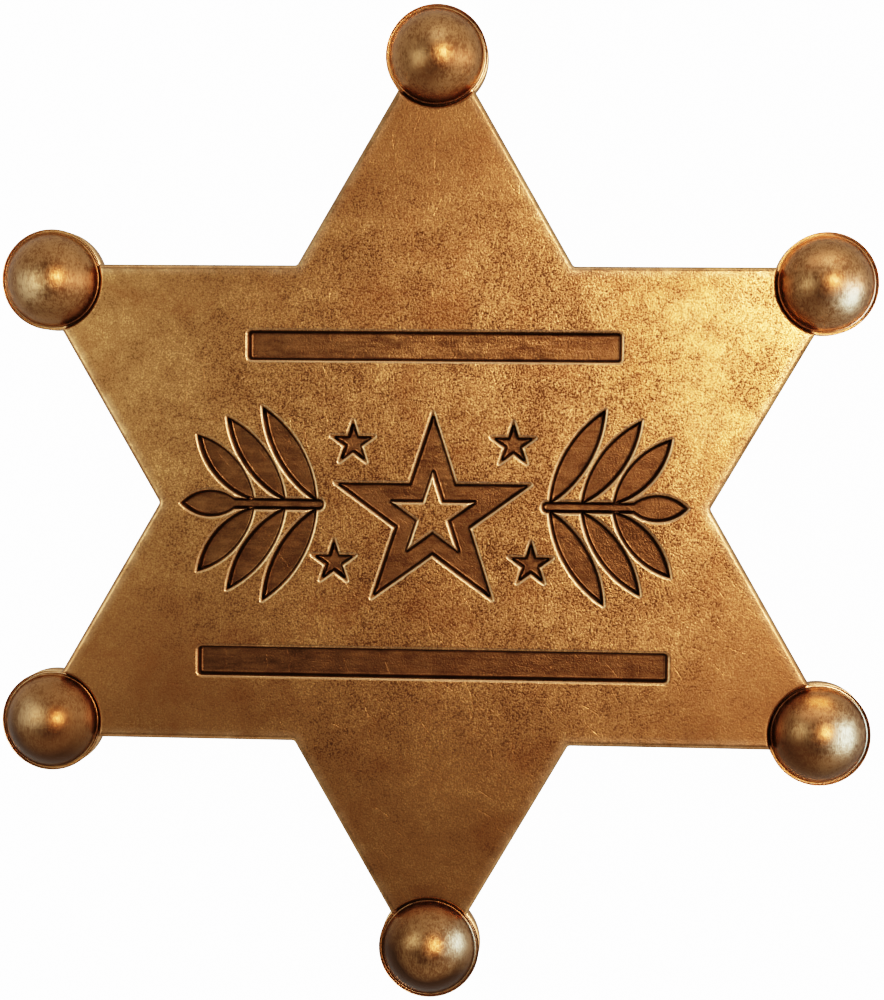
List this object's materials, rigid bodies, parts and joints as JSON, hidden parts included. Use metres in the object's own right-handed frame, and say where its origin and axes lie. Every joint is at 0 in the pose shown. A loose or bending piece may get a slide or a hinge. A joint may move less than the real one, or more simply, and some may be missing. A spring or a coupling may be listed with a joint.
{
  "type": "sheriff star badge",
  "caption": "Cast star badge in antique brass with domed ball tips, sunk bars and a sunk star and laurel ornament, worn by the pin clasp at its back.",
  "frame": {"origin": "on the surface that the badge lies on, under the middle of the star", "axes": "+Z out of the front, +Y towards the top point, +X to the right as seen from the front"},
  "size_m": [0.0672, 0.0764, 0.0088],
  "materials": {
    "plate_brass": "antique, brushed and worn",
    "ball_brass": "antique, satin polished",
    "clasp_brass": "antique, dull"
  },
  "bodies": {
    "root": {"star_plate": "plate_brass", "ball_tip_top": "ball_brass", "ball_tip_upper_left": "ball_brass", "ball_tip_lower_left": "ball_brass", "ball_tip_bottom": "ball_brass", "ball_tip_lower_right": "ball_brass", "ball_tip_upper_right": "ball_brass", "pin_clasp": "clasp_brass"}
  },
  "joints": []
}
